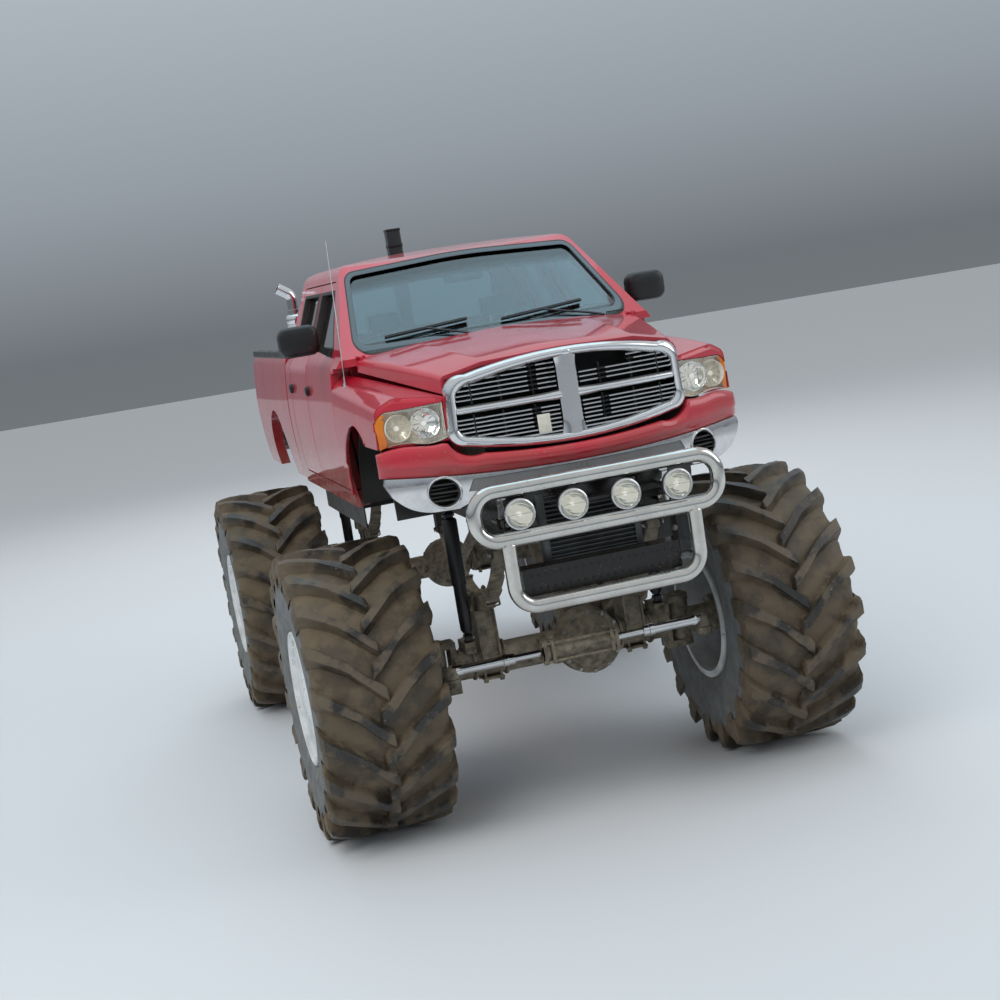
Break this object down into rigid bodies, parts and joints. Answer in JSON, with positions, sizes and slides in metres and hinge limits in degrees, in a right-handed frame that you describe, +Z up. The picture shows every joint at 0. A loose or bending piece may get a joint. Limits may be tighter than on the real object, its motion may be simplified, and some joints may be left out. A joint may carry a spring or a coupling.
{
  "type": "monster truck",
  "caption": "Lifted four-door pickup on very large bar-lug tyres with leaf springs, a tube bull bar, driving lamps, opening doors, hood and tailgate, and steered front wheels.",
  "frame": {"origin": "on the ground, midway between the axles, on the centre line", "axes": "+Z up, -Y towards the front of the truck, +X towards its left side"},
  "size_m": [3.05, 5.946, 3.37],
  "materials": {
    "red_paint": "gloss, dusty",
    "white_paint": "gloss, mud spots",
    "black_paint": "satin, dusty",
    "chrome": "polished",
    "polished_steel": "polished",
    "dusty_steel": "dried mud",
    "cast_metal": "rough",
    "tyre": "muddy",
    "tinted_glass": "clear",
    "lamp_glass": "yellowed",
    "red_lens": "gloss",
    "black_plastic": "grained",
    "grey_plastic": "matt",
    "grey_fabric": "woven"
  },
  "bodies": {
    "chassis": {"air_post": "black_paint", "antenna": "black_plastic", "bed": "red_paint", "bed_rails": "black_plastic", "bull_bar": "polished_steel", "bumper_cover": "red_paint", "bumper_inserts": "grey_plastic", "cab": "red_paint", "cab_glass": "tinted_glass", "cooler_frame": "black_paint", "coolers": "black_paint", "dashboard": "grey_plastic", "driveshafts": "dusty_steel", "driving_lamps": "lamp_glass", "engine": "cast_metal", "exhaust_stacks": "chrome", "frame": "black_paint", "front_axle": "dusty_steel", "front_bumper": "chrome", "front_fenders": "red_paint", "fuel_tank": "black_plastic", "gearbox": "cast_metal", "headlamps": "lamp_glass", "leaf_springs": "dusty_steel", "rear_axle": "dusty_steel", "rear_bumper": "chrome", "seats": "grey_fabric", "shock_absorbers": "black_paint", "steering_cylinder": "dusty_steel", "tail_lamps": "red_lens", "wheel_liners": "black_plastic", "wipers": "black_plastic"},
    "hood": {"hood": "red_paint", "grille_shell": "chrome", "grille_slats": "chrome"},
    "tailgate": {"tailgate": "red_paint"},
    "steering_rod": {"steering_rod": "polished_steel"},
    "door_front_left": {"door_front_left": "red_paint", "door_glass_front_left": "tinted_glass", "mirror_and_handle_left": "black_plastic"},
    "door_rear_left": {"door_rear_left": "red_paint", "door_glass_rear_left": "tinted_glass", "rear_handle_left": "black_plastic"},
    "knuckle_left": {"knuckle_left": "dusty_steel"},
    "wheel_front_left": {"tyre_front_left": "tyre", "rim_front_left": "white_paint"},
    "wheel_rear_left": {"tyre_rear_left": "tyre", "rim_rear_left": "white_paint"},
    "door_front_right": {"door_front_right": "red_paint", "door_glass_front_right": "tinted_glass", "mirror_and_handle_right": "black_plastic"},
    "door_rear_right": {"door_rear_right": "red_paint", "door_glass_rear_right": "tinted_glass", "rear_handle_right": "black_plastic"},
    "knuckle_right": {"knuckle_right": "dusty_steel"},
    "wheel_front_right": {"tyre_front_right": "tyre", "rim_front_right": "white_paint"},
    "wheel_rear_right": {"tyre_rear_right": "tyre", "rim_rear_right": "white_paint"}
  },
  "joints": [
    {"name": "steer_left", "type": "hinge", "parent": "chassis", "child": "knuckle_left", "pos_m": [0.73, -1.785, 0.802], "axis": [0, 0, 1], "range_deg": [-20, 20]},
    {"name": "roll_front_left", "type": "hinge", "parent": "knuckle_left", "child": "wheel_front_left", "pos_m": [1.175, -1.785, 0.802], "axis": [1, 0, 0], "continuous": true},
    {"name": "roll_rear_left", "type": "hinge", "parent": "chassis", "child": "wheel_rear_left", "pos_m": [1.175, 1.785, 0.802], "axis": [1, 0, 0], "continuous": true},
    {"name": "open_door_front_left", "type": "hinge", "parent": "chassis", "child": "door_front_left", "pos_m": [0.978, -1.185, 2.2], "axis": [0, 0, -1], "range_deg": [0, 65]},
    {"name": "open_door_rear_left", "type": "hinge", "parent": "chassis", "child": "door_rear_left", "pos_m": [0.978, -0.155, 2.2], "axis": [0, 0, -1], "range_deg": [0, 65]},
    {"name": "steer_right", "type": "hinge", "parent": "chassis", "child": "knuckle_right", "pos_m": [-0.73, -1.785, 0.802], "axis": [0, 0, 1], "range_deg": [-20, 20]},
    {"name": "roll_front_right", "type": "hinge", "parent": "knuckle_right", "child": "wheel_front_right", "pos_m": [-1.175, -1.785, 0.802], "axis": [1, 0, 0], "continuous": true},
    {"name": "roll_rear_right", "type": "hinge", "parent": "chassis", "child": "wheel_rear_right", "pos_m": [-1.175, 1.785, 0.802], "axis": [1, 0, 0], "continuous": true},
    {"name": "open_door_front_right", "type": "hinge", "parent": "chassis", "child": "door_front_right", "pos_m": [-0.978, -1.185, 2.2], "axis": [0, 0, 1], "range_deg": [0, 65]},
    {"name": "open_door_rear_right", "type": "hinge", "parent": "chassis", "child": "door_rear_right", "pos_m": [-0.978, -0.155, 2.2], "axis": [0, 0, 1], "range_deg": [0, 65]},
    {"name": "slide_steering_rod", "type": "slide", "parent": "chassis", "child": "steering_rod", "axis": [1, 0, 0], "range_m": [-0.134, 0.134]},
    {"name": "lift_hood", "type": "hinge", "parent": "chassis", "child": "hood", "pos_m": [0, -1.455, 2.588], "axis": [-1, 0, 0], "range_deg": [0, 50]},
    {"name": "drop_tailgate", "type": "hinge", "parent": "chassis", "child": "tailgate", "pos_m": [0, 2.795, 2.015], "axis": [-1, 0, 0], "range_deg": [0, 90]}
  ],
  "couplings": [
    {"joint": "steer_right", "follows": "steer_left", "ratio": 1},
    {"joint": "slide_steering_rod", "follows": "steer_left", "m_per_rad": 0.37}
  ]
}
